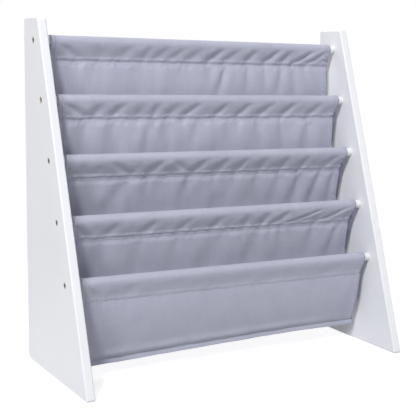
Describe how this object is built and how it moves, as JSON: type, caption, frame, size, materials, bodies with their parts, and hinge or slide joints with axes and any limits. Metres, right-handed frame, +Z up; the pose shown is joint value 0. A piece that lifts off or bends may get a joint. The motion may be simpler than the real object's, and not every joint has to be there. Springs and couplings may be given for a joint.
{
  "type": "sling bookshelf",
  "caption": "Free-standing children's bookshelf with two slanted side panels, round rods between them and canvas slings that hang as open pockets for books shown face out.",
  "frame": {"origin": "middle of the footprint, on the floor", "axes": "+X along the rods to the right, +Y to the back, +Z up"},
  "size_m": [0.64, 0.288, 0.612],
  "materials": {
    "panel": "satin white paint",
    "rod": "satin white paint",
    "bolt": "satin",
    "insert": "zinc plated",
    "canvas": "woven, matt"
  },
  "bodies": {
    "root": {"side_panel_left": "panel", "side_panel_right": "panel", "rod_1": "rod", "rod_2": "rod", "rod_3": "rod", "rod_4": "rod", "rod_5": "rod", "bolt_left_1": "bolt", "bolt_left_2": "bolt", "bolt_left_3": "bolt", "bolt_left_4": "bolt", "bolt_left_5": "bolt", "bolt_right_1": "bolt", "bolt_right_2": "bolt", "bolt_right_3": "bolt", "bolt_right_4": "bolt", "bolt_right_5": "bolt", "rod_insert_left_1": "insert", "rod_insert_left_2": "insert", "rod_insert_left_3": "insert", "rod_insert_left_4": "insert", "rod_insert_left_5": "insert", "rod_insert_right_1": "insert", "rod_insert_right_2": "insert", "rod_insert_right_3": "insert", "rod_insert_right_4": "insert", "rod_insert_right_5": "insert", "sling_1": "canvas", "sling_2": "canvas", "sling_3": "canvas", "sling_4": "canvas", "sling_5": "canvas"}
  },
  "joints": []
}
